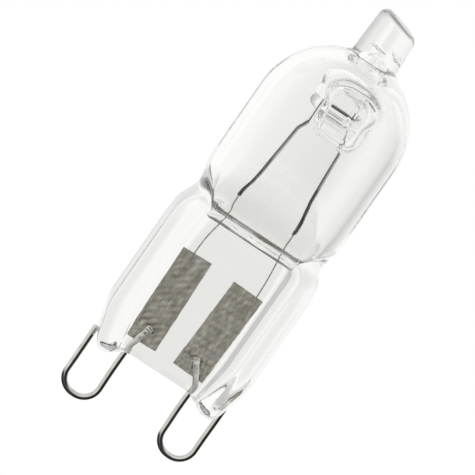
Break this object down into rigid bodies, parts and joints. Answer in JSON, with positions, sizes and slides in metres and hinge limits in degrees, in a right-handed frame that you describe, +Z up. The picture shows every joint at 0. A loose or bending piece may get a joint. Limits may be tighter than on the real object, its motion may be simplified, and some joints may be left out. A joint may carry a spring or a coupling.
{
  "type": "halogen capsule bulb",
  "caption": "Sealed clear quartz capsule lamp with a domed bulb, a coiled filament held in a glass post, a flat press with sealing foils, and wire contact loops below.",
  "frame": {"origin": "on the lamp axis at the lower edge of the web, midway between the contact loops, where they leave the glass", "axes": "+Z up along the lamp axis to the exhaust tip, +X across the press from one contact loop to the other, front of the press towards -Y"},
  "size_m": [0.013, 0.0126, 0.0392],
  "materials": {
    "quartz": "clear fire-polished fused quartz",
    "tungsten": "dull dark grey coiled tungsten wire",
    "lead_wire": "grey drawn molybdenum wire",
    "foil": "warm grey, slightly crinkled molybdenum foil",
    "loop_wire": "bright drawn molybdenum wire"
  },
  "bodies": {
    "root": {"quartz_envelope": "quartz", "filament": "tungsten", "inner_lead_left": "lead_wire", "inner_lead_right": "lead_wire", "foil_left": "foil", "foil_right": "foil", "contact_loop_left": "loop_wire", "contact_loop_right": "loop_wire"}
  },
  "joints": []
}
